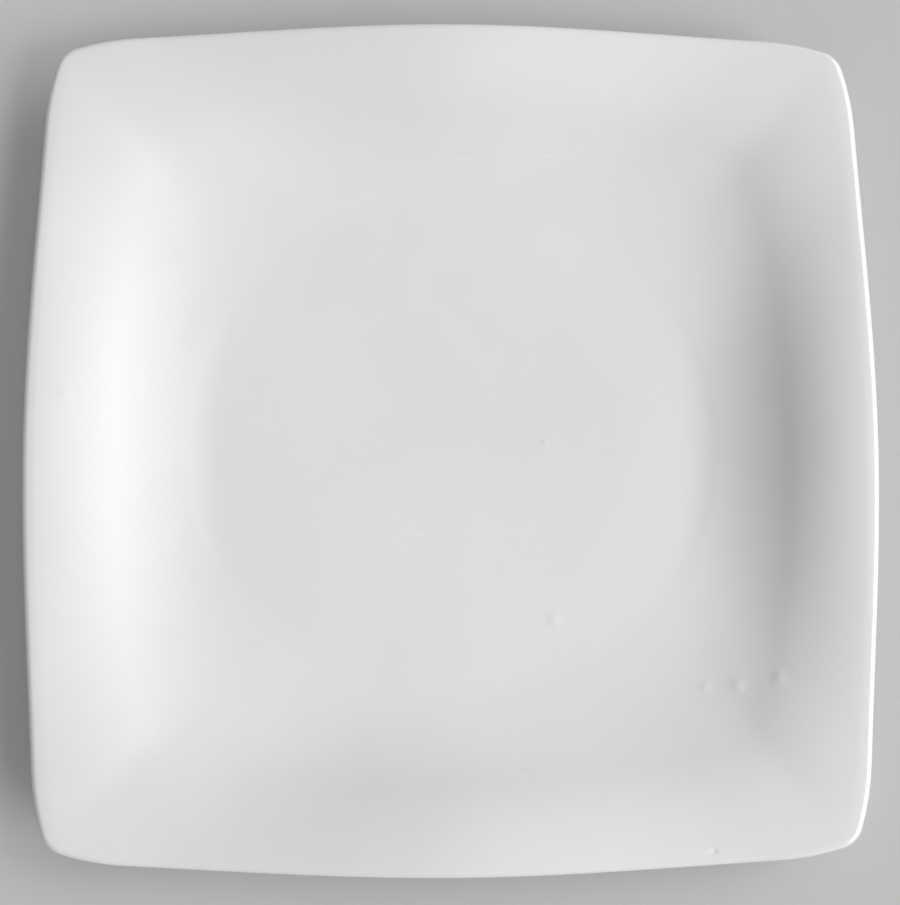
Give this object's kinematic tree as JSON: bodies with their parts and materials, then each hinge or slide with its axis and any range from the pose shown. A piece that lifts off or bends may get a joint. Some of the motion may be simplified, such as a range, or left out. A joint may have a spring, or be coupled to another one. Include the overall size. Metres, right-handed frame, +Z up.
{
  "type": "square dinner plate",
  "caption": "Square white porcelain dinner plate with gently bowed sides, small round corners, a rim that dips towards them, a shallow curved wall and a round foot ring, for serving a meal.",
  "frame": {"origin": "centre of the plate on the table surface, under the sole of the foot ring", "axes": "+Z up through the middle of the plate, +X to the right and +Y to the far side of the picture"},
  "size_m": [0.267, 0.267, 0.0226],
  "materials": {
    "bare_porcelain": "unglazed, fine and matt, ground smooth on the sole of the foot",
    "white_glaze": "clear glossy glaze over white porcelain, with a few pin-head bumps"
  },
  "bodies": {
    "root": {"porcelain_body": "bare_porcelain", "glaze_coat": "white_glaze", "recess_glaze": "white_glaze"}
  },
  "joints": []
}
